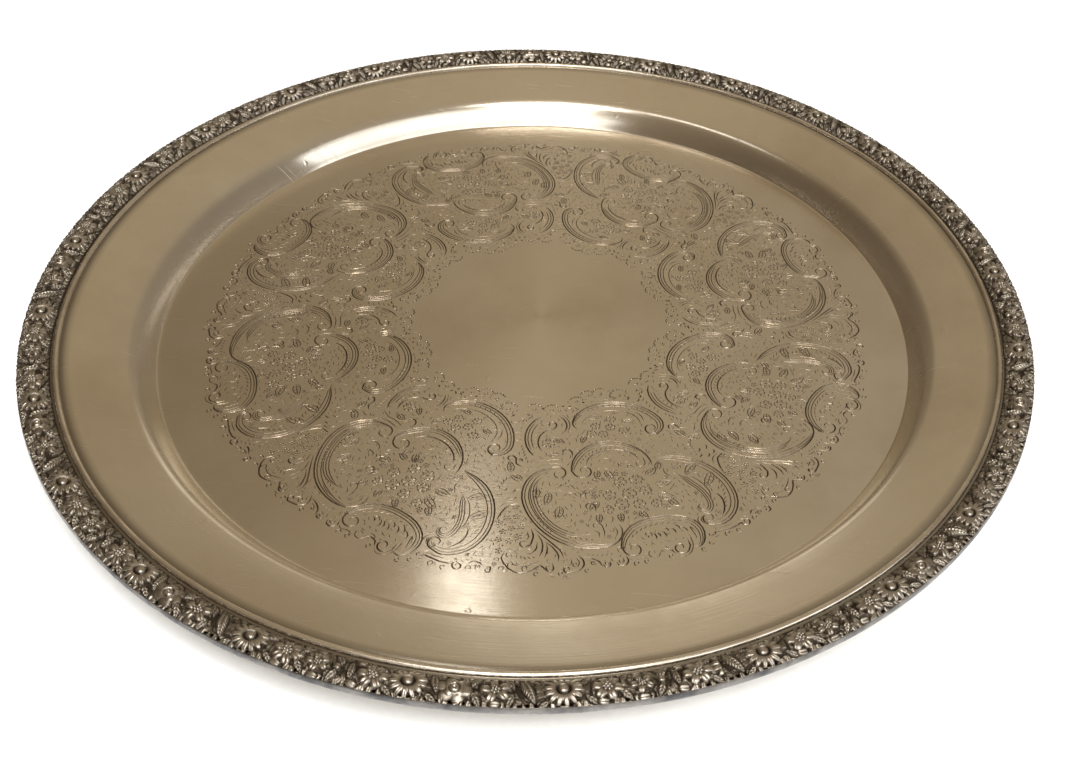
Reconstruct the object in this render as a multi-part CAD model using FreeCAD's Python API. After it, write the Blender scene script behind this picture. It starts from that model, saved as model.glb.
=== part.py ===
import FreeCAD, Part
import math
import os

# Round silver salver: one pressed plate with a flat engraved well, a steep wall and a
# rising rim. A plain bead wire, a ring of cast floral border sections and a plain edge
# wire are soldered around the rim. Millimetres, +Z up, origin under the centre of the
# flat underside. Every piece is a section in the XZ half plane, turned about Z.

# Pressed plate
OUTER_DIAMETER = 381.0       # over the edge wire
SHEET = 1.2                  # thickness of the plate
WELL_RADIUS = 147.5          # flat floor, out to the foot of the wall
FOOT_BEND = 0.8              # inside radius where floor turns into wall
WALL_FOOT_SLOPE = 66.0       # degrees above level, at the foot
WALL_TOP_SLOPE = 50.0        # degrees, where the roll to the rim starts
WALL_BEND = 31.0             # radius of the wall's own gentle curve
ROLL_BEND = 8.0              # radius of the roll from wall to rim
RIM_SLOPE = 17.3             # degrees, the broad plain rim
FLANGE_BEND = 6.0            # radius where the rim turns level
FLANGE_RISE = 16.4           # top of the level flange above the floor

# Mouldings on the flange
EDGE_WIRE_WIDTH = 1.6
EDGE_WIRE_HEIGHT = 3.4
EDGE_WIRE_ROUND = 0.6        # how far its outer face bulges past its flat faces
BEAD_RADIUS = 1.1            # round top of the bead wire
BEAD_FOOT = 0.2              # height of the straight sides under its round top
BEAD_FACETS = 6
BEAD_RING_RADIUS = 178.1     # to the middle of the bead
BORDER_INNER_RADIUS = 179.9
BORDER_STEP = 0.6            # height of the casting's inner edge
BORDER_CREST_RADIUS = 185.6
BORDER_CREST = 4.0           # height of the casting at its crest
BORDER_OUTER_SETBACK = 0.2   # casting's outer edge behind the edge wire
BORDER_LIP = 0.4             # thickness of the casting over the edge wire

# The casting holds one repeat of the floral pattern. Twelve full castings and one cut
# short to close the ring, laid counter-clockwise from the front right.
FULL_SECTIONS = 12
REPEAT_ANGLE = 28.475
FIRST_JOINT = 291.5

FLOOR_TOP = SHEET
FLANGE_TOP = FLOOR_TOP + FLANGE_RISE
FLANGE_BOTTOM = FLANGE_TOP - SHEET
OUTER_RADIUS = OUTER_DIAMETER / 2
SHEET_EDGE_RADIUS = OUTER_RADIUS - EDGE_WIRE_WIDTH
EDGE_WIRE_TOP = FLANGE_BOTTOM + EDGE_WIRE_HEIGHT
FULL_TURN = 360.0
FLAT_ANGLE = 180.0
MM3_PER_CM3 = 1000
AXIS = FreeCAD.Vector(0, 0, 1)
ORIGIN = FreeCAD.Vector(0, 0, 0)


def vec(point):
    return FreeCAD.Vector(point[0], 0, point[1])


def line(start, end):
    return Part.LineSegment(vec(start), vec(end)).toShape()


def arc(start, middle, end):
    return Part.Arc(vec(start), vec(middle), vec(end)).toShape()


def polyline(points):
    return [line(a, b) for a, b in zip(points, points[1:])]


def step(point, slope, length):
    """The point a length away from point, up a slope in degrees."""
    angle = math.radians(slope)
    return (point[0] + length * math.cos(angle), point[1] + length * math.sin(angle))


def bend(start, slope, new_slope, radius):
    """A tangent arc from one slope to another: the edge and its end point."""
    side = 90 if new_slope > slope else -90
    centre = step(start, slope + side, radius)
    middle = step(centre, (slope + new_slope) / 2 - side, radius)
    end = step(centre, new_slope - side, radius)
    return arc(start, middle, end), end


def plate_path(depth):
    """The plate's section from the axis to its edge, at a depth below its top face."""
    foot_tangent = FOOT_BEND * math.tan(math.radians(WALL_FOOT_SLOPE / 2))
    start = (0, FLOOR_TOP - depth)
    foot = (WELL_RADIUS - foot_tangent, start[1])
    foot_arc, wall_start = bend(foot, 0, WALL_FOOT_SLOPE, FOOT_BEND + depth)
    wall_arc, roll_start = bend(wall_start, WALL_FOOT_SLOPE, WALL_TOP_SLOPE, WALL_BEND - depth)
    roll_arc, rim_start = bend(roll_start, WALL_TOP_SLOPE, RIM_SLOPE, ROLL_BEND - depth)
    rim_end = step(rim_start, RIM_SLOPE, rim_length())
    flange_arc, flange_start = bend(rim_end, RIM_SLOPE, 0, FLANGE_BEND - depth)
    edge = (SHEET_EDGE_RADIUS, flange_start[1])
    edges = [line(start, foot), foot_arc, wall_arc, roll_arc]
    edges += [line(rim_start, rim_end), flange_arc, line(flange_start, edge)]
    return edges, start, edge


def rim_length():
    """Length of the straight rim that brings the flange to its height."""
    def rise(radius, low, high):
        return radius * (math.cos(math.radians(low)) - math.cos(math.radians(high)))
    bends = rise(FOOT_BEND, 0, WALL_FOOT_SLOPE)
    bends += rise(WALL_BEND, WALL_TOP_SLOPE, WALL_FOOT_SLOPE)
    bends += rise(ROLL_BEND, RIM_SLOPE, WALL_TOP_SLOPE)
    bends += rise(FLANGE_BEND, 0, RIM_SLOPE)
    return (FLANGE_RISE - bends) / math.sin(math.radians(RIM_SLOPE))


def turned(edges, start_angle=0.0, angle=FULL_TURN):
    """Turn a closed section about Z, from a start angle, through an angle."""
    face = Part.Face(Part.Wire(edges))
    solid = face.revolve(ORIGIN, AXIS, angle)
    solid.rotate(ORIGIN, AXIS, start_angle)
    return solid


def tray_body():
    top, top_start, top_end = plate_path(0)
    bottom, bottom_start, bottom_end = plate_path(SHEET)
    edges = top + [line(top_end, bottom_end)] + bottom[::-1]
    return turned(edges + [line(bottom_start, top_start)])


def bead_wire():
    """Half-round wire. Its crown is narrow facets, because a thin round ring meshes badly."""
    spring = (BEAD_RING_RADIUS, FLANGE_TOP + BEAD_FOOT)
    turns = [FLAT_ANGLE * (1 - number / BEAD_FACETS) for number in range(BEAD_FACETS + 1)]
    crown = [step(spring, turn, BEAD_RADIUS) for turn in turns]
    inner_foot = (crown[0][0], FLANGE_TOP)
    outer_foot = (crown[-1][0], FLANGE_TOP)
    return turned(polyline([inner_foot] + crown + [outer_foot, inner_foot]))


def edge_wire():
    shoulder = OUTER_RADIUS - EDGE_WIRE_ROUND
    middle = (FLANGE_BOTTOM + EDGE_WIRE_TOP) / 2
    low = (shoulder, FLANGE_BOTTOM)
    high = (shoulder, EDGE_WIRE_TOP)
    inner_high = (SHEET_EDGE_RADIUS, EDGE_WIRE_TOP)
    inner_low = (SHEET_EDGE_RADIUS, FLANGE_BOTTOM)
    round_face = arc(low, (OUTER_RADIUS, middle), high)
    return turned([round_face] + polyline([high, inner_high, inner_low, low]))


def border_casting(start_angle, angle):
    """One cast border section: a low crown on the flange, lapping over the edge wire."""
    outer_radius = OUTER_RADIUS - BORDER_OUTER_SETBACK
    inner_low = (BORDER_INNER_RADIUS, FLANGE_TOP)
    inner_high = (BORDER_INNER_RADIUS, FLANGE_TOP + BORDER_STEP)
    crest = (BORDER_CREST_RADIUS, FLANGE_TOP + BORDER_CREST)
    outer_high = (outer_radius, EDGE_WIRE_TOP + BORDER_LIP)
    outer_low = (outer_radius - EDGE_WIRE_ROUND, EDGE_WIRE_TOP)
    lap = (SHEET_EDGE_RADIUS, EDGE_WIRE_TOP)
    heel = (SHEET_EDGE_RADIUS, FLANGE_TOP)
    edges = [line(inner_low, inner_high), arc(inner_high, crest, outer_high)]
    edges += polyline([outer_high, outer_low, lap, heel, inner_low])
    return turned(edges, start_angle, angle)


def save(shape, node):
    if not shape.isValid() or len(shape.Solids) != 1:
        raise ValueError(node + " is not one valid solid")
    shape.exportStep("parts/" + node + ".step")
    print(f"{node}: {shape.Volume / MM3_PER_CM3:.2f} cm3")


os.makedirs("parts", exist_ok=True)
save(tray_body(), "tray_body")
save(bead_wire(), "bead_wire")
save(edge_wire(), "edge_wire")
for number in range(FULL_SECTIONS):
    joint = FIRST_JOINT + number * REPEAT_ANGLE
    save(border_casting(joint, REPEAT_ANGLE), f"border_section_{number + 1:02d}")
last_joint = FIRST_JOINT + FULL_SECTIONS * REPEAT_ANGLE
closing_angle = FULL_TURN - FULL_SECTIONS * REPEAT_ANGLE
save(border_casting(last_joint, closing_angle), "border_closing_section")
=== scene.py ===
"""Looks of the silver salver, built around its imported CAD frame.

The plate, its mouldings and its cast floral border are remade as fine meshes in the CAD's place.
The engraving is cut into the plate's floor as real grooves, and the border's flowers are real relief.
Drawing is done in millimetres and turned into metres when a mesh is made.
"""
import math

import bmesh
import bpy
import numpy as np
from mathutils import Matrix, Vector
from mathutils.geometry import delaunay_2d_cdt


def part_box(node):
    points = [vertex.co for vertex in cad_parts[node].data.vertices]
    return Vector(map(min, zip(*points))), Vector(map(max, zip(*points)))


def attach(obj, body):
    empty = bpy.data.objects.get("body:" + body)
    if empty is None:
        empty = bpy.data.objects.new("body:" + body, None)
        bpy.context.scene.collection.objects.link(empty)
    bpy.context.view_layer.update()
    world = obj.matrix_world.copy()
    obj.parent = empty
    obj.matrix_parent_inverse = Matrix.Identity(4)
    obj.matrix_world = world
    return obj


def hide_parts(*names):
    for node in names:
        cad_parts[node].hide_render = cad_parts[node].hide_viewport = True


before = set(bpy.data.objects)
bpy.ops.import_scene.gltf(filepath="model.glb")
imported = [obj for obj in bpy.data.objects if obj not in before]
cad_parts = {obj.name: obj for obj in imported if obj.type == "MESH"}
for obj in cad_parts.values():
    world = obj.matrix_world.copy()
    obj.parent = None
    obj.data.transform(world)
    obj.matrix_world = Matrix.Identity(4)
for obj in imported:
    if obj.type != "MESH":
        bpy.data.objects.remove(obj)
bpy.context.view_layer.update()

MM = 0.001
RNG = np.random.default_rng(7)

# ------------------------------------------------------------------ sizes, from the frame
plate_low, plate_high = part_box("tray_body")
wire_low, wire_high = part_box("edge_wire")
bead_low, bead_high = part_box("bead_wire")
casting_high = max(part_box(name)[1].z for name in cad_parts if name.startswith("border"))

OUTER_RADIUS = wire_high.x / MM
SHEET_EDGE = plate_high.x / MM
FLANGE_TOP = plate_high.z / MM
WIRE_BOTTOM = wire_low.z / MM
WIRE_TOP = wire_high.z / MM
SHEET = FLANGE_TOP - WIRE_BOTTOM
BEAD_OUTER = bead_high.x / MM
CREST_TOP = casting_high / MM

# ------------------------------------------------------------------ sizes of the pressed plate
WELL_RADIUS = 147.5
FOOT_BEND = 0.8
WALL_BEND = 31.0
ROLL_BEND = 8.0
FLANGE_BEND = 6.0
WALL_FOOT_SLOPE = 66.0
WALL_TOP_SLOPE = 50.0
RIM_SLOPE = 17.3
BEAD_RADIUS = 1.1
EDGE_ROUND = 0.6                  # how far the outer wire's face bulges
ROUND_STEPS = 480                 # segments in a full turn
UNITS = 8                         # repeats of the engraving
UNIT_ANGLE = 360.0 / UNITS
ENGRAVING_TURN = -68.6            # degrees, middle of the first repeat
ENGRAVING_SCALE = 1.012
ENGRAVED_INNER = 42.0
ENGRAVED_OUTER = 132.0


# ------------------------------------------------------------------ small helpers
def polar(radius, degrees):
    angle = math.radians(degrees)
    return np.array([radius * math.cos(angle), radius * math.sin(angle)])


def turned(points, degrees):
    angle = math.radians(degrees)
    turn = np.array([[math.cos(angle), math.sin(angle)], [-math.sin(angle), math.cos(angle)]])
    return np.asarray(points) @ turn


def new_object(name, vertices, faces, materials, slots=None, smooth=True):
    """A mesh object from millimetre vertices."""
    mesh = bpy.data.meshes.new(name)
    mesh.from_pydata((np.asarray(vertices) * MM).tolist(), [], faces)
    for material in materials:
        mesh.materials.append(material)
    if slots is not None:
        mesh.polygons.foreach_set("material_index", np.asarray(slots, np.int32))
    flags = np.asarray(smooth if isinstance(smooth, (list, np.ndarray)) else [smooth] * len(faces))
    mesh.polygons.foreach_set("use_smooth", flags)
    mesh.update()
    obj = bpy.data.objects.new(name, mesh)
    bpy.context.scene.collection.objects.link(obj)
    return obj


# ------------------------------------------------------------------ engraving: kinds of cut
# A cut is a list of stations (x, y, half width). It is a V groove, deepest along its middle.
CUT_SLOPE = 0.85                  # depth of a groove for each mm of half width
BOLD = 0.30                       # half widths
FINE = 0.175
HAIR = 0.15
SPLINE_STEPS = 10
THIN_TURN = math.radians(15)      # a station is kept where the line has turned this much
THIN_LENGTH = 2.6                 # or has run this far


def thinned(points):
    """Drops points along straight stretches, and keeps them in curls."""
    kept = [points[0]]
    heading = None
    for here, after in zip(points[1:-1], points[2:]):
        step = after - here
        angle = math.atan2(step[1], step[0])
        if heading is None:
            heading = angle
        swing = abs((angle - heading + math.pi) % (2 * math.pi) - math.pi)
        if swing > THIN_TURN or np.hypot(*(here - kept[-1])) > THIN_LENGTH:
            kept.append(here)
            heading = angle
    kept.append(points[-1])
    return np.array(kept)


def spline(points):
    """A smooth line through given points."""
    p = np.array(points, float)
    p = np.vstack([2 * p[0] - p[1], p, 2 * p[-1] - p[-2]])
    out = []
    for a, b, c, d in zip(p, p[1:], p[2:], p[3:]):
        for t in np.arange(SPLINE_STEPS) / SPLINE_STEPS:
            out.append(0.5 * (2 * b + (c - a) * t + (2 * a - 5 * b + 4 * c - d) * t ** 2
                              + (3 * b - a - 3 * c + d) * t ** 3))
    out.append(p[-2])
    return thinned(out)


def curl(eye, radius, start, sweep, end_radius=0.55):
    """Points of a spiral about its eye, from a start angle through a sweep, in degrees."""
    count = max(4, int(abs(sweep) / 24))
    t = np.linspace(0, 1, count + 1)
    reach = radius + (end_radius - radius) * t ** 0.8
    angle = np.radians(start + sweep * t)
    return list(zip(eye[0] + reach * np.cos(angle), eye[1] + reach * np.sin(angle)))


def normals(points):
    ahead = np.gradient(points, axis=0)
    ahead /= np.maximum(np.hypot(ahead[:, 0], ahead[:, 1]), 1e-9)[:, None]
    return np.c_[-ahead[:, 1], ahead[:, 0]]


def along(points):
    """Share of the line's length at each point."""
    lengths = np.r_[0, np.cumsum(np.hypot(*np.diff(points, axis=0).T))]
    return lengths / lengths[-1]


def cut(points, width=FINE, head=0.15, tail=0.35):
    """One graver stroke: it swells over its head and thins over its tail."""
    points = np.asarray(points, float)
    t = along(points)
    swell = np.minimum(1, np.minimum(t / head, (1 - t) / tail))
    half = width * np.sqrt(np.clip(swell, 0, 1))
    return np.c_[points, half]


def line(points, width=FINE, head=0.15, tail=0.35):
    return [cut(spline(points), width, head, tail)]


def beside(points, gap, start=0.0, end=1.0):
    """A line along part of another, a gap to its left, which closes in at both ends."""
    points = spline(points)
    t = along(points)
    spread = gap * np.clip(np.minimum((t - start) / 0.15, (end - t) / 0.15), 0, 1) ** 0.6
    inside = (t >= start) & (t <= end)
    return (points + normals(points) * spread[:, None])[inside]


def scroll(points, gaps, width=BOLD, start=0.0, end=0.9):
    """A bold line with finer ones beside it."""
    cuts = [cut(spline(points), width, 0.06, 0.12)]
    for gap in gaps:
        cuts.append(cut(beside(points, gap, start, end), FINE, 0.1, 0.2))
    return cuts


def comma(x, y, heading, length, bend=70, width=FINE):
    """A short stroke that starts thick and hooks round."""
    count = 3
    angles = np.radians(heading + bend * np.linspace(0, 1, count))
    steps = np.c_[np.cos(angles), np.sin(angles)] * length / count
    points = np.vstack([[x, y], [x, y] + np.cumsum(steps, axis=0)])
    return [cut(points, width, 0.25, 0.7)]


def feathers(points, count, length, lean, bend=70, width=FINE):
    """Commas set side by side along a line, as an acanthus leaf is shaded."""
    points = spline(points)
    t = along(points)
    ahead = np.gradient(points, axis=0)
    cuts = []
    for share in np.linspace(0.04, 0.96, count):
        x, y = (np.interp(share, t, points[:, k]) for k in (0, 1))
        heading = math.degrees(math.atan2(np.interp(share, t, ahead[:, 1]),
                                          np.interp(share, t, ahead[:, 0])))
        size = length * (0.65 + 0.35 * math.sin(math.pi * share))
        cuts += comma(x, y, heading + lean, size, bend, width)
    return cuts


def dot(x, y, radius=0.42):
    """A round punch mark."""
    return [np.array([[x, y, radius]])]


def floret(x, y, radius=1.15, turn=0.0):
    """A tiny flower of five punch marks round a sixth."""
    cuts = dot(x, y, radius * 0.3)
    for number in range(5):
        px, py = polar(radius * 0.78, turn + 72 * number)
        cuts += dot(x + px, y + py, radius * 0.33)
    return cuts


VEINED_PETALS = 2.15              # radius of the smallest flower whose petals have veins


def flower(x, y, radius=2.4, petals=5, turn=0.0):
    """A flower of looped petals, each with a vein, round a punched eye."""
    cuts = dot(x, y, radius * 0.2)
    half = 180 / petals
    for number in range(petals):
        middle = turn + 2 * half * number
        loop = [polar(radius * reach, middle + half * swing) for reach, swing in
                ((0.35, -0.75), (0.8, -0.85), (1.02, -0.35), (0.93, 0), (1.02, 0.35), (0.8, 0.85),
                 (0.35, 0.75))]
        cuts.append(cut([(x + p[0], y + p[1]) for p in loop], FINE, 0.1, 0.1))
        if radius > VEINED_PETALS:
            vein = [polar(radius * reach, middle) for reach in (0.34, 0.56, 0.78)]
            cuts.append(cut([(x + p[0], y + p[1]) for p in vein], HAIR, 0.2, 0.6))
    return cuts


LEAF_STEPS = 5


def leaf(x, y, heading, length, width, bend=25, veins=4):
    """A pointed leaf: two edges, a midrib and side veins."""
    cuts = []
    turns = np.radians(heading + bend * np.linspace(0, 1, LEAF_STEPS))
    steps = np.c_[np.cos(turns), np.sin(turns)] * length / LEAF_STEPS
    rib = np.vstack([[x, y], [x, y] + np.cumsum(steps, axis=0)])
    across = normals(rib)
    belly = np.sin(np.pi * np.linspace(0, 1, LEAF_STEPS + 1) ** 0.8)[:, None] * width / 2
    cuts.append(cut(rib, HAIR, 0.2, 0.4))
    for side in (-1, 1):
        edge = rib + side * across * belly
        cuts.append(cut(edge, FINE, 0.1, 0.1))
        for number in range(1, veins):
            here = rib[number]
            there = rib[number + 1] + side * across[number + 1] * belly[number + 1] * 0.75
            cuts.append(cut([here, (here + there) / 2, there], HAIR, 0.2, 0.6))
    return cuts


def shell(x, y, heading, radius, ribs=5):
    """A little scallop: a lobed rim with ribs running in to its heel."""
    cuts = []
    rim = []
    spread = 130
    for number in range(ribs):
        middle = heading + spread * ((number + 0.5) / ribs - 0.5)
        edge = heading + spread * (number / ribs - 0.5)
        rim += [polar(radius * 0.9, edge), polar(radius * 1.08, middle)]
        rib = [polar(radius * 0.25, middle), polar(radius * 0.85, middle)]
        cuts.append(cut([(x + p[0], y + p[1]) for p in rib], FINE, 0.6, 0.3))
    rim.append(polar(radius * 0.9, heading + spread / 2))
    cuts += line([(x + p[0], y + p[1]) for p in rim], FINE, 0.1, 0.1)
    cuts += line(curl((x, y), radius * 0.3, heading + 90, 300, radius * 0.12), HAIR)
    return cuts


# ------------------------------------------------------------------ engraving: one repeat
# Millimetres from the salver's centre, +Y outward along the middle of the repeat and +X clockwise.
def left_scroll():
    spine = [(-17.5, 85.4), (-24, 86.4), (-30, 89.3), (-35, 94.6), (-38, 101), (-38.9, 107.5),
             (-37.6, 113.5), (-34.2, 118), (-30, 120.2), (-26.8, 119.9)]
    cuts = scroll(spine + curl((-25.8, 116.7), 2.9, 70, -420), (-1.0, -2.4))
    inner = [(-22.6, 94.8), (-24.4, 99.5), (-26.6, 103.4), (-27.7, 107), (-27.9, 109.6)]
    cuts += scroll(inner + curl((-25.5, 111), 2.3, 195, -400), (0.8, 1.7), FINE)
    cuts += line([(-30.2, 117.2), (-32.4, 114.2), (-33.3, 110.6), (-32.6, 107.6), (-31, 106.4)], BOLD)
    cuts += line([(-23.4, 119), (-22.7, 117), (-23.6, 115.2)])
    cuts += line([(-22, 118.6), (-21.6, 116.6), (-22.8, 114.6)])
    cuts += line([(-29.4, 109.6), (-30.3, 105.5), (-29.3, 101.4), (-27, 97.6), (-23.8, 94.9)])
    cuts += feathers([(-35.4, 99), (-36.2, 104), (-35.6, 109), (-33.8, 113.6)], 8, 2.6, -60, 50)
    cuts += feathers([(-32.8, 93.6), (-29.6, 91.4), (-26, 90), (-22, 89.4)], 6, 2.8, 60, -60)
    cuts += feathers([(-33.6, 100.4), (-31.6, 97), (-28.6, 94.4)], 5, 2.6, 80, -80)
    cuts += leaf(-34.4, 96.8, 62, 8.5, 3.0, -20)
    cuts += leaf(-30.6, 91.6, 28, 7.5, 2.8, 25)
    cuts += line([(-20.4, 96.2), (-18.4, 93), (-18.8, 90.2)])
    return cuts


def right_scroll():
    spine = [(4.4, 110.4), (4.1, 113.2), (5.3, 116.1), (7.8, 118.1), (11, 118.8), (14.6, 118.4),
             (18.6, 117.1), (22.6, 114.9), (26.1, 111.8), (29, 107.7), (31.3, 102.5), (32.6, 96.5),
             (32.5, 91), (31, 86.5), (28.3, 82.8), (24.5, 80.4), (20.6, 79.7)]
    cuts = scroll(spine + curl((17.3, 83.2), 3.5, -75, -440, 0.7), (-1.0, -2.3), BOLD, 0.1, 0.85)
    bed = [(14.2, 112.3), (18.4, 111.6), (22.4, 109.6), (25.7, 105.9), (27.9, 101), (28.8, 96),
           (28.6, 91), (27.3, 87), (24.8, 84.2), (21.6, 82.6)]
    cuts += scroll(bed, (0.9, -1.0), FINE, 0.05, 0.95)
    cuts += line([(6.2, 110.9), (5.9, 113.6), (7.4, 116)], FINE)
    cuts += line([(10.9, 115.2), (10.1, 112.8), (10, 110)] + curl((11.9, 109.3), 1.9, 170, 330, 0.5))
    cuts += line([(12.6, 114.6), (12, 112.4), (13.4, 110.6)])
    cuts += line([(15.4, 116.6), (19, 115.2), (22, 112.8)], HAIR)
    cuts += feathers([(14.6, 115), (18.4, 113.8), (21.8, 111.8)], 5, 1.8, -60, 50)
    cuts += feathers([(27, 108.2), (29.2, 104), (30.4, 99)], 6, 2.0, -35, -30, HAIR)
    cuts += feathers([(26.4, 103.4), (26.6, 98), (26, 92.6), (24.4, 88)], 9, 2.8, 50, 55)
    cuts += leaf(21.2, 97.4, 78, 6.2, 2.8, -35)
    cuts += leaf(22.8, 90.4, 70, 6.4, 2.6, -20)
    cuts += leaf(26.2, 87.4, 72, 5.6, 2.4, -15)
    cuts += line([(20.6, 104), (21.4, 101.6), (24.2, 102.4)])
    cuts += line([(13.8, 92.2), (14.6, 89.8), (17.2, 88.6), (20.4, 89.6)])
    cuts += line([(14, 95.4), (14.8, 93.4), (17, 92.8), (19, 94)])
    cuts += feathers([(14.6, 86.8), (17.4, 88), (20.4, 86.6)], 5, 1.8, 70, -60)
    return cuts


def outer_cartouche():
    ring = [(-15.2, 126.4), (-18.2, 127.1), (-20.6, 125.3), (-21.9, 122), (-21.7, 118.6),
            (-19.8, 115.4), (-15.6, 112.6), (-10.6, 111.3), (-5.6, 111), (-1, 111.8), (2.6, 113.6),
            (5.4, 116.8), (6.8, 120.4)]
    cuts = scroll(ring + curl((3, 122), 3.8, -20, 420, 0.7), (0.9, 2.0), BOLD, 0.02, 0.8)
    cuts += line([(-15.4, 122.8), (-15.3, 125.9)] + curl((-12, 125.8), 3.2, 175, -430, 0.6), BOLD, 0.1, 0.2)
    cuts += line([(-16.5, 121), (-16.4, 125.6), (-14.6, 128.6), (-11.8, 129.6), (-9.6, 128.2)])
    cuts += line([(-9.6, 128), (-8.6, 125.8), (-6.4, 124.9), (-4.8, 125.6)], BOLD)
    cuts += line([(-8.8, 126.6), (-7.2, 124), (-4.8, 123.6)])
    cuts += line([(-5.2, 125.2)] + curl((-2.4, 125.4), 2.4, 160, -400, 0.5), FINE)
    cuts += line([(-0.4, 127.4), (1.6, 126.2), (4.4, 126.6), (6, 125.2)])
    cuts += line([(-19.6, 121.4), (-18, 118.4), (-18.6, 123), (-17.4, 123.8)], FINE)
    for x, y, heading, length in ((-16.8, 120.4, -80, 4.6), (-14.6, 118.8, -85, 4.2),
                                  (-12.6, 120, -95, 4), (-10.6, 118.4, -85, 3.2),
                                  (-9, 120.4, -100, 3.6), (-7.2, 120, -95, 3.4),
                                  (-5.4, 120.6, -110, 4.2), (-3.4, 119.2, -80, 2.8)):
        cuts += comma(x, y, heading, length, 60, BOLD)
    cuts += line(curl((-3.4, 117.6), 1.5, 120, 380, 0.4))
    cuts += feathers([(-15, 115.4), (-9, 113.6), (-3, 113.8), (2, 116.4)], 9, 2.6, 50, -50)
    cuts += feathers([(-17.5, 123.5), (-12, 122.4), (-6, 122.6), (-1, 121.8)], 7, 1.8, -60, 40, HAIR)
    return cuts


def lower_crescent():
    spine = [(-15.4, 89), (-15.5, 85.4), (-14.4, 81.6), (-12, 78), (-8.6, 75), (-4.4, 73.2),
             (0, 72.7), (4.3, 73.6), (8, 75.8), (11, 79.2), (12.5, 82.9)]
    cuts = scroll(spine + curl((8.4, 84.4), 4.1, -10, 410, 0.8), (0.9, 2.0), BOLD, 0.1, 0.75)
    cuts += line([(-12, 84.6), (-11, 81.8), (-8.4, 79.3), (-5, 77.6), (-1, 77), (2.8, 77.7),
                  (5.6, 79.7), (6.9, 82.4)], BOLD)
    cuts += line([(-13.6, 83.6)] + curl((-11.4, 86.2), 2.4, 215, -390, 0.5))
    cuts += feathers([(-11.6, 80.4), (-7, 77), (-1, 75.4), (5, 77), (8.8, 80.4)], 13, 2.0, 30, 40, HAIR)
    cuts += line([(10.4, 77.2), (9.8, 74.8), (10.8, 73), (12.5, 73.1), (13.3, 74.9)], BOLD)
    cuts += line([(-6.4, 85.6), (-4.4, 84.4), (-3.6, 86.6)])
    cuts += line([(-9.4, 88), (-7.6, 86), (-6, 88)])
    cuts += leaf(1.2, 86.2, 100, 5, 2.4, 20)
    cuts += leaf(3.6, 85.4, 60, 4.6, 2.2, 20)
    cuts += feathers([(6.4, 88.6), (9.4, 89.6), (12.4, 88.2), (13.8, 85)], 6, 1.8, 70, -50)
    return cuts


def inner_cartouche():
    spine = [(4.4, 64.8), (5.5, 61.8), (4.3, 58.8), (1.6, 56.2), (-2.6, 54.4), (-7.5, 53.8),
             (-12.5, 54.5), (-17.5, 56.6), (-22, 60.2), (-25, 64.4), (-26.4, 68.6), (-25.4, 72.2),
             (-22.6, 74.4)]
    cuts = scroll(spine + curl((-21.4, 71.2), 3.2, 95, -430, 0.6), (-1.0, -2.2), BOLD, 0.05, 0.85)
    cuts += line([(-18.4, 69), (-18.1, 64.6), (-15.5, 61), (-11.5, 58.9), (-7, 58.1), (-2.5, 58.7),
                  (1, 60.6), (2.8, 63.4)])
    cuts += line([(-19.9, 67.6), (-19.8, 64.2), (-18.3, 61.2)])
    cuts += line([(10, 65), (7.9, 62.2), (7.6, 59), (8.9, 56)], BOLD)
    cuts += line([(8.8, 65.2), (6.7, 62), (6.5, 58.6), (7.8, 55.6)])
    cuts += feathers([(-22.6, 65.4), (-19, 60.6), (-13.6, 57.4), (-7.6, 56.2), (-1.4, 57)], 12, 2.0, -40,
                     -40, HAIR)
    for x, y, turn in ((-11.2, 69.4, 10), (-7.2, 66.6, 40), (-3.6, 69.2, 0), (-8.6, 62.6, 20),
                       (-2.2, 64.6, 50), (0.4, 67.8, 15)):
        cuts += flower(x, y, 1.75, 5, turn)
    cuts += leaf(-12.6, 64.6, 150, 4.6, 2, 30, 3)
    cuts += leaf(2.6, 68.2, 40, 4.4, 2, 30, 3)
    cuts += leaf(-5, 60.8, -20, 4.2, 1.8, 25, 3)
    for x in (-9.6, -7.4, -5, -2.6, -0.4, 2):
        cuts += comma(x, 72.6 - 0.02 * x * x, -70, 2.0, 60)
    return cuts


def right_crescent():
    spine = [(23.2, 73), (24.4, 68.5), (23.9, 63.5), (21.8, 59.2), (18.6, 56.1), (15, 54.6)]
    cuts = scroll(spine, (-1.0, -2.2), BOLD, 0.02, 0.98)
    cuts += line([(19.9, 71.6), (20.2, 67.5), (18.6, 64), (15.8, 62), (12.9, 61.8)]
                 + curl((12.8, 59.6), 2.1, 95, 380, 0.5), BOLD, 0.1, 0.15)
    cuts += feathers([(21.6, 70), (21.8, 65.4), (19.8, 61.2), (16.6, 58.2)], 7, 2.4, -60, -40, HAIR)
    cuts += flower(16.6, 68.2, 2.3, 6, 15)
    cuts += leaf(13.2, 66.4, 110, 4.4, 2, 25, 3)
    cuts += leaf(18.4, 73, 150, 4.6, 2.2, 20, 3)
    cuts += line([(13, 78), (16.8, 76.4), (20.4, 76), (24, 73.8)])
    cuts += line([(14, 79.6), (18.2, 78), (22.4, 77.8)])
    return cuts


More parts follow.
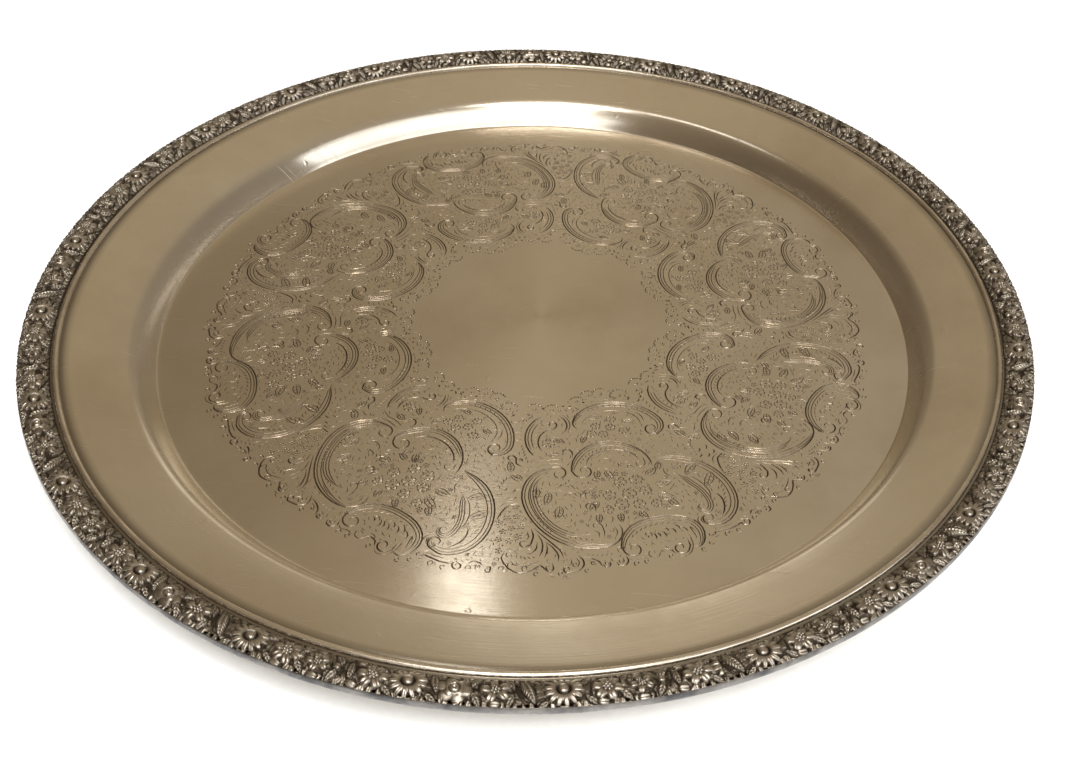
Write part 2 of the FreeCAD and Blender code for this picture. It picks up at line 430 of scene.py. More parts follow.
def bouquet():
    cuts = []
    for x, y, radius, turn in ((0.6, 102.6, 2.5, 0), (-5.2, 104.2, 2.1, 30), (-3.4, 98.6, 2.5, 15),
                               (3.4, 97.6, 2.2, 50), (-9.2, 98.8, 2.1, 5), (-7.6, 93.4, 2.4, 40),
                               (-2, 92.8, 2.2, 20), (-11, 105.4, 1.9, 60), (5.8, 103.6, 1.8, 25)):
        cuts += flower(x, y, radius, 5, turn)
    for x, y, heading, length, width in ((-13.2, 97, 165, 6.5, 2.8), (-12.4, 101.6, 140, 7, 3),
                                         (-11.4, 92.4, 200, 6, 2.6), (7.6, 99.4, 25, 5.5, 2.6),
                                         (6.8, 94.2, -5, 6, 2.6), (-4.2, 107, 105, 4.6, 2.2),
                                         (2.2, 106, 70, 4.4, 2.2), (-15.6, 104.6, 110, 5, 2.4),
                                         (9, 104.4, 60, 4.6, 2.2), (2.8, 91.2, -40, 4.8, 2.2),
                                         (-16, 91, 230, 4.4, 2.2)):
        cuts += leaf(x, y, heading, length, width)
    for x, y in ((-1.6, 88.8), (-4.6, 89.6), (0.6, 89.4), (8.6, 96.8), (-13.6, 107.6)):
        cuts += floret(x, y, 1.1, 10 * x)
    cuts += line([(10.2, 103.6), (9.6, 101), (10.8, 99), (12.6, 99.8), (12.4, 102)], BOLD)
    cuts += line([(12, 96.6), (11, 94.6), (12.6, 92.6)], BOLD)
    cuts += line([(13.6, 96.4), (12.8, 94.4), (14, 92.8)])
    return cuts


def field_between():
    """The ground between two repeats: leaf fans at its top and foot, and scattered florets."""
    cuts = []
    for points in ([(26.2, 119.6), (26.3, 116), (28, 112.4), (30, 108.6), (32.2, 104)],
                   [(28.4, 120.4), (27.5, 117.6), (28.3, 114), (30.2, 110.6)],
                   [(33.8, 116.6), (31.8, 113.8), (31, 110.2), (31.8, 106.8)],
                   [(32.2, 117.4), (30.4, 114.6), (29.8, 111.4)],
                   [(36.4, 114.8), (33.6, 112.8), (32.4, 109.8)]):
        cuts += line(points, BOLD, 0.3, 0.6)
    cuts += line([(33, 103.8), (33.1, 107.4), (34.6, 110.2)] + curl((37, 109.4), 2, 140, -330, 0.5), BOLD)
    cuts += line([(34.6, 104.6), (34.6, 107.2), (36, 108.8)])
    for x, y in ((38, 106.4), (41.4, 107.2), (35.8, 102.4), (39.2, 102.2), (42.2, 102.8), (36.2, 97.8),
                 (39.4, 97.6), (42.4, 98.6), (44.4, 105.6), (35.4, 93.6), (45.6, 110.2)):
        cuts += floret(x, y, 1.2, 13 * x)
    for x, y in ((40, 104.6), (37.4, 100.2), (40.8, 100), (38, 95.2), (43.8, 108.4), (36.4, 105.2),
                 (43.2, 100.6), (41.2, 95.6), (34.6, 99.8)):
        cuts += dot(x, y, 0.36)
    cuts += line([(33.8, 92.8), (37.4, 92.4), (40.8, 94.8), (43.4, 98)], BOLD)
    cuts += line([(34.6, 91.4), (38, 90.8), (41, 92.6)])
    for x, y, heading in ((34, 89, 60), (36.4, 88.6, 40), (33.4, 85.6, 70), (35.8, 84.4, 50),
                          (38, 86.4, 30)):
        cuts += comma(x, y, heading, 3, -80, BOLD)
    cuts += feathers([(31.2, 80.6), (33.8, 79.4), (36.6, 80), (39, 82.8)], 6, 3, 70, -50)
    cuts += line([(28.2, 76.8), (30, 74.6), (29.4, 72)] + curl((31.2, 71.6), 1.7, 170, 340, 0.5), BOLD)
    cuts += line([(25.6, 78.4), (28.2, 79.2), (30.6, 77.4)])
    cuts += feathers([(26.4, 75.6), (27, 71.4), (26.6, 67)], 6, 2.4, -60, 60)
    cuts += leaf(30.2, 83, -60, 5.4, 2.6, 20)
    cuts += leaf(33, 78, -110, 5.6, 2.4, 20)
    for x, y in ((27.4, 63.4), (26.2, 59.6), (24.4, 56), (22.2, 53.4)):
        cuts += comma(x, y, 150, 2.6, 70)
        cuts += comma(x - 1.2, y - 1.4, 170, 2.2, 60)
    return cuts


def outer_fringe():
    """Broken scrolls and tufts along the outer edge, from one side of the repeat to the other."""
    cuts = []
    cuts += line([(6.6, 123.8), (6.3, 126), (7.8, 127.5), (9.8, 127), (10.2, 125.2)], BOLD)
    cuts += line([(7.8, 124.2), (7.8, 125.6), (9, 126)])
    cuts += line([(12, 124.4), (12.6, 126.2), (14.2, 126.4), (14.8, 124.8)], BOLD)
    cuts += line([(15, 126.4), (15.6, 123.8), (17.4, 121.9), (20.2, 120.4)], BOLD, 0.1, 0.4)
    cuts += line([(16.6, 125), (17.6, 123.2), (19.4, 122)])
    cuts += line([(21.4, 119.2), (20.4, 121.6), (20.8, 123.8), (22.8, 125.2), (25.2, 125.2)]
                 + curl((26.4, 123.8), 1.5, 80, -330, 0.5), BOLD, 0.1, 0.15)
    cuts += line([(22.4, 120), (21.8, 122), (22.8, 123.6), (24.6, 123.8)])
    cuts += line([(24, 119.6), (24.2, 121.6), (25.6, 122.6)])
    cuts += line([(30.2, 119.8), (30.6, 122.4), (32.2, 123), (33.4, 121.4), (34.4, 119.8), (36.4, 120.6),
                  (39, 121.2), (41.8, 120.8), (43.8, 119), (45.2, 116.2), (45.4, 113.2), (43.6, 111)],
                 BOLD, 0.06, 0.2)
    cuts += line([(33.4, 117.8), (36.8, 118.6), (40, 118.6), (42.4, 117), (43.4, 114.6)])
    cuts += line([(42.6, 111.6)] + curl((42.6, 113), 1.5, -100, 330, 0.4))
    cuts += line([(-24.8, 124.2), (-25.6, 122.9), (-28, 122.9), (-31, 122.9), (-33.8, 122.3), (-35.4, 121.4)]
                 + curl((-37.2, 121.6), 1.9, -10, 420, 0.5), BOLD, 0.06, 0.12)
    cuts += line([(-26, 121.6), (-29.4, 121.6), (-32.6, 120.8)])
    cuts += line([(-39.6, 119.6), (-40.8, 117.6), (-43, 117.3), (-44.8, 117.8)], BOLD)
    cuts += line([(-41, 119.8), (-42.4, 118.6), (-43.8, 119.6)])
    cuts += line([(-45, 117.6), (-46.8, 117.2), (-47.4, 119), (-46, 120)], BOLD)
    for x, y, radius, start in ((8.7, 125.4, 1.2, 200), (13.4, 124.9, 0.9, 180), (17.6, 123.6, 1.0, 150),
                                (23.4, 122.6, 1.0, 90), (32, 121.2, 1.1, 140), (39.2, 119.6, 1.4, 60),
                                (43.2, 116.8, 1.3, 40), (-43.4, 119, 1.2, 90), (-46.4, 118.6, 1.0, 180),
                                (-33.4, 124.2, 1.2, 120), (-29.2, 124.6, 1.3, 90), (-40.8, 120.6, 1.2, 70),
                                (-7.8, 128.2, 1.1, 100), (0.6, 128, 1.1, 100), (4, 127.9, 1.2, 60),
                                (-19, 128.6, 1.1, 140), (-22.4, 126.6, 1.1, 160), (-23.6, 123.4, 0.9, 180),
                                (20.4, 126, 1.0, 110), (28.8, 124.8, 1.0, 60), (36.4, 122.6, 1.1, 90),
                                (46.4, 117.4, 1.1, 20), (47, 113.6, 1.0, 0)):
        cuts += line(curl((x, y), radius, start, -330, 0.35), FINE, 0.1, 0.2)
    cuts += feathers([(10, 121.6), (14, 121), (18, 119.6)], 6, 1.7, 60, -40, HAIR)
    cuts += feathers([(-34, 121), (-37.4, 118.8), (-40, 115)], 6, 1.7, -70, 40, HAIR)
    cuts += feathers([(35, 116.6), (38.4, 116.4), (41, 114.6)], 5, 2.0, -80, 50)
    return cuts


def inner_fringe():
    """Little shells and tufts that edge the plain middle."""
    cuts = []
    for x, y, radius in ((-15.4, 51.6, 3.2), (-9, 48.8, 2.8), (-4.2, 48.6, 2.6), (0.6, 50.4, 2.4),
                         (10.6, 52.2, 2.6), (16.6, 50.2, 2.8)):
        heading = math.degrees(math.atan2(-y, -x))
        cuts += shell(x, y, heading, radius)
    for x, y in ((3.8, 52.2), (6.2, 51.4), (8, 53.4), (13.4, 50.6), (-12.2, 51.4), (-18.6, 53.6),
                 (19.4, 52.4), (-1.6, 51.6)):
        cuts += dot(x, y, 0.5)
    for x, y, heading in ((-17.4, 54.8, 200), (-20.6, 56.6, 190), (3.4, 54, -60), (5.6, 54.6, -80),
                          (18.4, 54.2, -20), (12.8, 54.4, -70), (20.6, 55.4, -40)):
        cuts += comma(x, y, heading, 2.6, 80, BOLD)
    return cuts


# The engraver leaves no bare ground: what is empty between the motifs is filled with nicks that
# follow the lines beside them.
CELL = 0.4                        # mm, of the map that finds empty ground
MAP_LOW = np.array([-62.0, 36.0])
MAP_SIZE = (310, 250)
CLOSE_REACH = 17                  # cells; ground further than this from any line stays bare
NICK_ROOM = 3                     # cells round a nick
NICK_STEP = (1.0, 1.5)            # mm; a nick has two steps
NICK_HOOK = 20                    # degrees that they turn, one to each side of the flow
NICK_MARGIN = 4                   # cells that the nicks keep inside the outline
SEAM_MARGIN = 0.5                 # degrees that they keep from the next repeat


def widened(marks, cells):
    """A map's marks, grown by a disc."""
    grown = marks.copy()
    for dx in range(-cells, cells + 1):
        for dy in range(-cells, cells + 1):
            if dx * dx + dy * dy <= cells * cells:
                grown |= np.roll(marks, (dx, dy), (0, 1))
    return grown


def line_map(cuts):
    """Which cells the cuts of this repeat and its neighbours run through."""
    marks = np.zeros(MAP_SIZE, bool)
    for turn in (-UNIT_ANGLE, 0, UNIT_ANGLE):
        for stations in cuts:
            points = turned(stations[:, :2], turn)
            share = np.linspace(0, 1, 12)[:, None]
            walked = [points] + [a + share * (b - a) for a, b in zip(points, points[1:])]
            cells = np.round((np.vstack(walked) - MAP_LOW) / CELL).astype(int)
            inside = ((cells >= 0) & (cells < MAP_SIZE)).all(axis=1)
            marks[tuple(cells[inside].T)] = True
    return marks


def soft(marks, passes=14):
    """A blurred copy of a map, whose slope shows the way to the nearest lines."""
    shade = marks.astype(float)
    for _ in range(passes):
        for axis in (0, 1):
            shade = (np.roll(shade, 1, axis) + 2 * shade + np.roll(shade, -1, axis)) / 4
    return shade


def ground_nicks(cuts, rng):
    marks = line_map(cuts)
    near = widened(marks, CLOSE_REACH)
    bounded = ~widened(~near, CLOSE_REACH + NICK_MARGIN)
    slope_x, slope_y = np.gradient(soft(marks))
    taken = widened(marks, NICK_ROOM)
    cells = np.argwhere(bounded & ~taken)
    shade = soft(marks)
    order = np.argsort(-shade[tuple(cells.T)] + rng.normal(0, 0.01, len(cells)))
    nicks = []
    for i, j in cells[order]:
        x, y = MAP_LOW + CELL * np.array([i, j])
        if taken[i, j] or abs(math.degrees(math.atan2(x, y))) > UNIT_ANGLE / 2 or not 46 < math.hypot(x, y) < 130:
            continue
        if rng.random() < 0.08:
            nicks += floret(x, y, 0.8, 40 * x)
            taken[i - 3:i + 4, j - 3:j + 4] = True
            continue
        points = [np.array([x, y])]
        step, hook = rng.uniform(*NICK_STEP), rng.choice((-1, 1)) * NICK_HOOK
        for turn in (-hook, hook):
            a, b = np.round((points[-1] - MAP_LOW) / CELL).astype(int)
            heading = math.degrees(math.atan2(slope_y[a, b], slope_x[a, b])) + 90
            points.append(points[-1] + polar(step, heading + turn))
            taken[a - NICK_ROOM:a + NICK_ROOM + 1, b - NICK_ROOM:b + NICK_ROOM + 1] = True
        across, outward = np.array(points).T
        if np.degrees(np.abs(np.arctan2(across, outward))).max() < UNIT_ANGLE / 2 - SEAM_MARGIN:
            nicks.append(cut(points, HAIR, 0.3, 0.5))
    return nicks


def engraved_repeat():
    parts = (left_scroll, right_scroll, outer_cartouche, lower_crescent, inner_cartouche,
             right_crescent, bouquet, field_between, outer_fringe, inner_fringe)
    cuts = [stations for part in parts for stations in part()]
    cuts += ground_nicks(cuts, np.random.default_rng(3))
    return [stations * [ENGRAVING_SCALE, ENGRAVING_SCALE, 1] for stations in cuts]


# ------------------------------------------------------------------ the plate
CUT_LIMIT = 0.22                  # deepest groove
GROOVE_SHOWS = 0.012              # a face whose middle is this deep is groove, not ground
DOT_SIDES = 7
FLOOR_EDGE = 146.0                # the cut floor mesh meets the turned wall mesh here
SECTOR_STEPS = ROUND_STEPS // UNITS
WELD = 3e-6                       # metres


def bend(point, slope, new_slope, radius, steps):
    """Points of a tangent arc from one slope to another, without its start."""
    side = math.copysign(90, new_slope - slope)
    centre = point + polar(radius, slope + side)
    slopes = np.linspace(slope, new_slope, steps + 1)[1:]
    return [centre + polar(radius, s - side) for s in slopes]


def rim_length():
    def rise(radius, low, high):
        return radius * (math.cos(math.radians(low)) - math.cos(math.radians(high)))
    bends = rise(FOOT_BEND, 0, WALL_FOOT_SLOPE) + rise(WALL_BEND, WALL_TOP_SLOPE, WALL_FOOT_SLOPE)
    bends += rise(ROLL_BEND, RIM_SLOPE, WALL_TOP_SLOPE) + rise(FLANGE_BEND, 0, RIM_SLOPE)
    return (FLANGE_TOP - SHEET - bends) / math.sin(math.radians(RIM_SLOPE))


def plate_section(depth):
    """The plate's section from the foot of the wall to its edge, at a depth below its top face."""
    tangent = FOOT_BEND * math.tan(math.radians(WALL_FOOT_SLOPE / 2))
    path = [np.array([WELL_RADIUS - tangent, SHEET - depth])]
    path += bend(path[-1], 0, WALL_FOOT_SLOPE, FOOT_BEND + depth, 4)
    path += bend(path[-1], WALL_FOOT_SLOPE, WALL_TOP_SLOPE, WALL_BEND - depth, 6)
    path += bend(path[-1], WALL_TOP_SLOPE, RIM_SLOPE, ROLL_BEND - depth, 6)
    for _ in range(3):
        path.append(path[-1] + polar(rim_length() / 3, RIM_SLOPE))
    path += bend(path[-1], RIM_SLOPE, 0, FLANGE_BEND - depth, 4)
    path.append(np.array([SHEET_EDGE, path[-1][1]]))
    return path


def ring_quads(rings, closed=False):
    """Quads between rings of ROUND_STEPS vertices, numbered ring after ring."""
    here = np.arange(ROUND_STEPS)
    after = (here + 1) % ROUND_STEPS
    pairs = [(n, n + 1) for n in range(rings - 1)] + ([(rings - 1, 0)] if closed else [])
    quads = [np.c_[a * ROUND_STEPS + here, a * ROUND_STEPS + after, b * ROUND_STEPS + after,
                   b * ROUND_STEPS + here] for a, b in pairs]
    return np.vstack(quads).tolist()


def ring_vertices(path):
    angles = np.radians(ENGRAVING_TURN - UNIT_ANGLE / 2) + np.arange(ROUND_STEPS) * 2 * np.pi / ROUND_STEPS
    rings = [np.c_[r * np.cos(angles), r * np.sin(angles), np.full(ROUND_STEPS, z)] for r, z in path]
    return np.vstack(rings)


def turned_ring(name, section, materials):
    """A closed section turned all the way round."""
    faces = [quad[::-1] for quad in ring_quads(len(section), closed=True)]
    return new_object(name, ring_vertices(section), faces, materials)


def outline_of(stations):
    """The edge lines of a cut: left, middle and right, which meet at its tips."""
    if len(stations) == 1:
        x, y, radius = stations[0]
        facing = math.degrees(math.atan2(y, x))
        ring = [(x, y) + polar(radius, facing + 360 * n / DOT_SIDES) for n in range(DOT_SIDES)]
        return [ring + ring[:1], [(x, y), ring[0]]]
    points, half = stations[:, :2], stations[:, 2:]
    side = normals(points) * half
    return [points, points + side, points - side]


def neighbours_too(cuts):
    """The cuts, with those of the repeats on either side that reach into this one's sector."""
    reaching = []
    for turn in (-UNIT_ANGLE, 0, UNIT_ANGLE):
        for stations in cuts:
            moved = stations.copy()
            moved[:, :2] = turned(stations[:, :2], turn)
            bearing = np.degrees(np.arctan2(moved[:, 0], moved[:, 1]))
            if np.abs(bearing).min() < UNIT_ANGLE / 2 + 0.4:
                reaching.append(moved)
    return reaching


def depth_at(points, cuts):
    """How deep the grooves are at each point."""
    depth = np.zeros(len(points))
    for stations in cuts:
        reach = stations[:, 2].max()
        low = stations[:, :2].min(axis=0) - reach
        high = stations[:, :2].max(axis=0) + reach
        near = np.where(((points >= low) & (points <= high)).all(axis=1))[0]
        if len(near) == 0:
            continue
        p = points[near]
        starts = stations[:-1] if len(stations) > 1 else stations
        ends = stations[1:] if len(stations) > 1 else stations
        run = ends[:, :2] - starts[:, :2]
        length2 = np.maximum((run ** 2).sum(axis=1), 1e-9)
        t = np.clip(((p[:, None] - starts[None, :, :2]) * run).sum(axis=2) / length2, 0, 1)
        nearest = starts[:, :2] + t[..., None] * run
        distance = np.hypot(*(p[:, None] - nearest).transpose(2, 0, 1))
        half = starts[:, 2] + t * (ends[:, 2] - starts[:, 2])
        depth[near] = np.maximum(depth[near], ((half - distance) * CUT_SLOPE).max(axis=1))
    return np.minimum(depth, CUT_LIMIT)


def cut_sector():
    """One repeat's share of the floor: vertices, triangles, and which triangles are groove."""
    cuts = neighbours_too(engraved_repeat())
    vertices = [(0.0, 0.0)]
    bearings = 90 + UNIT_ANGLE / 2 - np.arange(SECTOR_STEPS + 1) * UNIT_ANGLE / SECTOR_STEPS
    vertices += [tuple(polar(FLOOR_EDGE, bearing)) for bearing in bearings]
    edges = [(n, n + 1) for n in range(SECTOR_STEPS + 1)] + [(SECTOR_STEPS + 1, 0)]
    for stations in cuts:
        for points in outline_of(stations):
            first = len(vertices)
            vertices += [tuple(p) for p in points]
            edges += [(n, n + 1) for n in range(first, len(vertices) - 1)]
    made = delaunay_2d_cdt([Vector(v) for v in vertices], edges, [], 0, 1e-5)
    points = np.array([tuple(v) for v in made[0]])
    triangles = np.array(made[2])
    middle = points[triangles].mean(axis=1)
    bearing = np.degrees(np.arctan2(middle[:, 0], middle[:, 1]))
    chord = np.cos(np.radians(UNIT_ANGLE / SECTOR_STEPS / 2))
    off_chord = (np.abs(bearing) + 1e-9) % (UNIT_ANGLE / SECTOR_STEPS) - UNIT_ANGLE / SECTOR_STEPS / 2
    reach = np.hypot(middle[:, 0], middle[:, 1]) * np.cos(np.radians(off_chord))
    triangles = triangles[(np.abs(bearing) < UNIT_ANGLE / 2) & (reach < FLOOR_EDGE * chord)]
    used, numbers = np.unique(triangles, return_inverse=True)
    points, triangles = points[used], numbers.reshape(-1, 3)
    groove = depth_at(points[triangles].mean(axis=1), cuts) > GROOVE_SHOWS
    return np.c_[points, SHEET - depth_at(points, cuts)], triangles, groove


def tray_plate(materials):
    """The pressed plate: engraved floor, wall, rim, flange and plain underside."""
    sector, triangles, groove = cut_sector()
    blocks = []
    for number in range(UNITS):
        block = sector.copy()
        block[:, :2] = turned(sector[:, :2], ENGRAVING_TURN - 90 + UNIT_ANGLE * number)
        blocks.append(block)
    faces = np.vstack([triangles + number * len(sector) for number in range(UNITS)]).tolist()
    slots = np.tile(np.where(groove, 1, 0), UNITS).tolist()
    flat = len(faces)
    top = [np.array([FLOOR_EDGE, SHEET])] + plate_section(0)
    under = plate_section(SHEET)[::-1] + [np.array([r, 0.0]) for r in (110, 60, 15)]
    first = UNITS * len(sector)
    rings = ring_vertices(top + under)
    faces += [[first + n for n in quad] for quad in ring_quads(len(top + under))]
    tip = first + len(rings)
    last = tip - ROUND_STEPS
    faces += [[last + n, last + (n + 1) % ROUND_STEPS, tip] for n in range(ROUND_STEPS)]
    vertices = np.vstack(blocks + [rings, [[0, 0, 0]]])
    slots += [0] * (len(faces) - flat)
    smooth = [False] * flat + [True] * (len(faces) - flat)
    plate = new_object("silver_plate", vertices, faces, materials, slots, smooth)
    weld(plate)
    return plate


def weld(obj):
    mesh = bmesh.new()
    mesh.from_mesh(obj.data)
    bmesh.ops.remove_doubles(mesh, verts=mesh.verts, dist=WELD)
    bmesh.ops.recalc_face_normals(mesh, faces=mesh.faces)
    mesh.to_mesh(obj.data)
    mesh.free()


# ------------------------------------------------------------------ the plain wires
def rounded(corners, radius, steps=3):
    """A closed section with its corners rounded."""
    path = []
    for before, here, after in zip(corners[-1:] + corners[:-1], corners, corners[1:] + corners[:1]):
        a = here + (before - here) / np.hypot(*(before - here)) * radius
        b = here + (after - here) / np.hypot(*(after - here)) * radius
        for t in np.linspace(0, 1, steps + 1):
            path.append((1 - t) ** 2 * a + 2 * t * (1 - t) * here + t ** 2 * b)
    return path


def bead_ring(material):
    """Half-round wire between the plain rim and the border."""
    radius = BEAD_RADIUS
    middle = BEAD_OUTER - radius
    spring = bead_high.z / MM - radius
    crown = [np.array([middle, spring]) + polar(radius, turn) for turn in np.linspace(180, 0, 13)]
    feet = [np.array([BEAD_OUTER, FLANGE_TOP]), np.array([BEAD_OUTER - 2 * radius, FLANGE_TOP])]
    return turned_ring("bead_moulding", crown + feet, [material])


def edge_ring(material):
    """The plain wire round the outside, with a softly bulging face."""
    inner, outer = SHEET_EDGE, OUTER_RADIUS
    middle = (WIRE_BOTTOM + WIRE_TOP) / 2
    half = (WIRE_TOP - WIRE_BOTTOM) / 2
    bulge = [np.array([outer - EDGE_ROUND * t ** 2, middle + half * t]) for t in np.linspace(-1, 1, 9)]
    back = [np.array([inner, WIRE_TOP]), np.array([inner, WIRE_BOTTOM])]
    return turned_ring("outer_wire", bulge + back, [material])


# ------------------------------------------------------------------ the cast border
REPEAT_ANGLE = 28.475
FULL_SECTIONS = 12
FIRST_JOINT = 291.5
CASTING_INNER = np.array([179.9, FLANGE_TOP + 0.6])
CASTING_CREST = np.array([185.6, CREST_TOP])
CASTING_OUTER = np.array([OUTER_RADIUS - 0.2, WIRE_TOP + 0.4])
MM_PER_DEGREE = CASTING_CREST[0] * math.pi / 180
REPEAT_LENGTH = REPEAT_ANGLE * MM_PER_DEGREE
RELIEF_GRID = 0.19                # mm between vertices
RELIEF_DEPTH = 1.5                # from the highest petals down to the ground between them
RELIEF_AT_EDGE = 0.45
DOME_POWER = 0.36                 # under a half: flatter on top than a ball
GROUND_LEAVES = 260
TIP_SPACING = 2.1                 # between the petal tips along both edges


def crown_arc():
    """Centre, radius and end angles of the arc through the casting's edges and crest."""
    a, b, c = CASTING_INNER, CASTING_CREST, CASTING_OUTER
    rows = np.array([b - a, c - a])
    centre = np.linalg.solve(rows, (rows * (rows / 2)).sum(axis=1)) + a
    start, end = (math.atan2(*(p - centre)[::-1]) for p in (a, c))
    return centre, np.hypot(*(a - centre)), start, end


CROWN_CENTRE, CROWN_RADIUS, CROWN_START, CROWN_END = crown_arc()
CROWN_WIDTH = CROWN_RADIUS * (CROWN_START - CROWN_END)


class Relief:
    """Heights from 0, the ground, to 1, the crest, over u mm along and v mm across a repeat."""

    def __init__(self):
        columns = round(REPEAT_LENGTH / RELIEF_GRID)
        rows = round(CROWN_WIDTH / RELIEF_GRID)
        self.along = np.linspace(0, REPEAT_LENGTH, columns + 1)
        self.across = np.linspace(0, CROWN_WIDTH, rows + 1)
        self.u, self.v = np.meshgrid(self.along, self.across, indexing="ij")
        self.height = np.zeros(self.u.shape)

    def local(self, u, v, heading=0.0):
        """Coordinates about a point, along and across a heading. The pattern wraps round."""
        du = (self.u - u + REPEAT_LENGTH / 2) % REPEAT_LENGTH - REPEAT_LENGTH / 2
        dv = self.v - v
        c, s = math.cos(math.radians(heading)), math.sin(math.radians(heading))
        return du * c + dv * s, dv * c - du * s

    def dome(self, u, v, length, width, heading=0.0, top=1.0, foot=0.0, crease=0.0):
        """An oval dome, which may have a crease along its length."""
        x, y = self.local(u, v, heading)
        square = np.abs(x / length) ** 2.5 + np.abs(y / width) ** 2.3
        shape = foot + (top - foot) * np.clip(1 - square, 0, 1) ** DOME_POWER
        shape -= crease * np.exp(-(y / (0.28 * width)) ** 2)
        self.height = np.where(square < 1, np.maximum(self.height, shape), self.height)

    def sink(self, u, v, radius, floor):
        """A round pit."""
        x, y = self.local(u, v)
        distance = np.hypot(x, y) / radius
        self.height = np.where(distance < 1, np.minimum(self.height, floor), self.height)

    def ring(self, u, v, radius, width, top):
        x, y = self.local(u, v)
        shape = top * np.sqrt(np.clip(1 - ((np.hypot(x, y) - radius) / width) ** 2, 0, 1))
        self.height = np.maximum(self.height, shape)


def daisy(relief, u, v, radius, petals, turn=0.0):
    """Many narrow petals round a deep ring with a button in it."""
    relief.sink(u, v, radius * 0.98, 0.1)
    for number in range(petals):
        heading = turn + 360 * number / petals
        x, y = polar(radius * 0.67, heading)
        relief.dome(u + x, v + y, radius * 0.35, radius * 0.155, heading, 0.92, 0.3, 0.1)
    relief.sink(u, v, radius * 0.38, 0.08)
    relief.dome(u, v, radius * 0.27, radius * 0.27, 0, 1.0, 0.3)
    relief.ring(u, v, radius * 0.14, radius * 0.07, 1.0)


def rose(relief, u, v, radius, turn=0.0):
    """Cupped petals overlapping round a tight bud."""
    relief.sink(u, v, radius, 0.15)
    for reach, size, top, count in ((0.68, 0.42, 0.7, 6), (0.42, 0.32, 0.88, 4)):
        for number in range(count):
            heading = turn + 360 * number / count + 30 * (count == 4)
            x, y = polar(radius * reach, heading)
            relief.dome(u + x, v + y, radius * size, radius * size, heading, top, 0.2)
        relief.sink(u, v, radius * (0.5 if count == 6 else 0.36), 0.25)
    relief.ring(u, v, radius * 0.42, radius * 0.1, 0.9)
    relief.dome(u, v, radius * 0.3, radius * 0.3, 0, 1.0, 0.3)
    relief.sink(u, v, radius * 0.1, 0.5)


def blossom(relief, u, v, radius, petals=6, turn=0.0):
    """A flower of round petals with a cluster of stamens."""
    relief.sink(u, v, radius * 0.9, 0.12)
    for number in range(petals):
        heading = turn + 360 * number / petals
        x, y = polar(radius * 0.66, heading)
        relief.dome(u + x, v + y, radius * 0.4, radius * 0.34, heading, 0.9, 0.2, 0.14)
    relief.sink(u, v, radius * 0.36, 0.2)
    for number in range(6):
        x, y = polar(radius * 0.24, turn + 60 * number)
        relief.dome(u + x, v + y, radius * 0.12, radius * 0.12, 0, 0.85, 0.2)
    relief.dome(u, v, radius * 0.12, radius * 0.12, 0, 0.95, 0.2)


def leaf_blade(relief, u, v, length, width, heading, top=0.85):
    """A pointed leaf with a sunk midrib and side veins, centred on its point."""
    x, y = relief.local(u, v, heading)
    taper = np.clip(1 - np.abs(x / length) ** 1.7, 0, 1)
    inside = np.abs(y) < width * taper
    shape = top * (1 - 0.55 * (np.abs(y) / np.maximum(width * taper, 0.01)) ** 2)
    shape += 0.09 * np.cos(2 * np.pi * (x - 1.1 * np.abs(y)) / 1.15)
    shape -= 0.32 * np.exp(-(y / 0.22) ** 2)
    around = np.abs(y) < width * taper + 0.35
    relief.height = np.where(around, np.minimum(relief.height, 0.18), relief.height)
    relief.height = np.where(inside, shape, relief.height)


def ground_leaves(relief, rng):
    """Small low leaves and buds that fill the ground between the flowers."""
    for _ in range(GROUND_LEAVES):
        u, v = rng.uniform(0, REPEAT_LENGTH), rng.uniform(0.5, CROWN_WIDTH - 0.5)
        length, heading = rng.uniform(1.1, 2.2), rng.uniform(0, 360)
        relief.dome(u, v, length, length * rng.uniform(0.34, 0.55), heading, rng.uniform(0.42, 0.68), 0.12,
                    0.12)
    for edge, reach, top in ((0.8, 1.0, 0.66), (CROWN_WIDTH - 0.75, 1.25, 0.8)):
        for u in np.arange(0.6, REPEAT_LENGTH, TIP_SPACING):
            relief.dome(u + rng.uniform(-0.5, 0.5), edge, reach, rng.uniform(0.75, 1.05), 90 + rng.normal(0, 16),
                        top + rng.uniform(-0.1, 0.1), 0.2, 0.1)


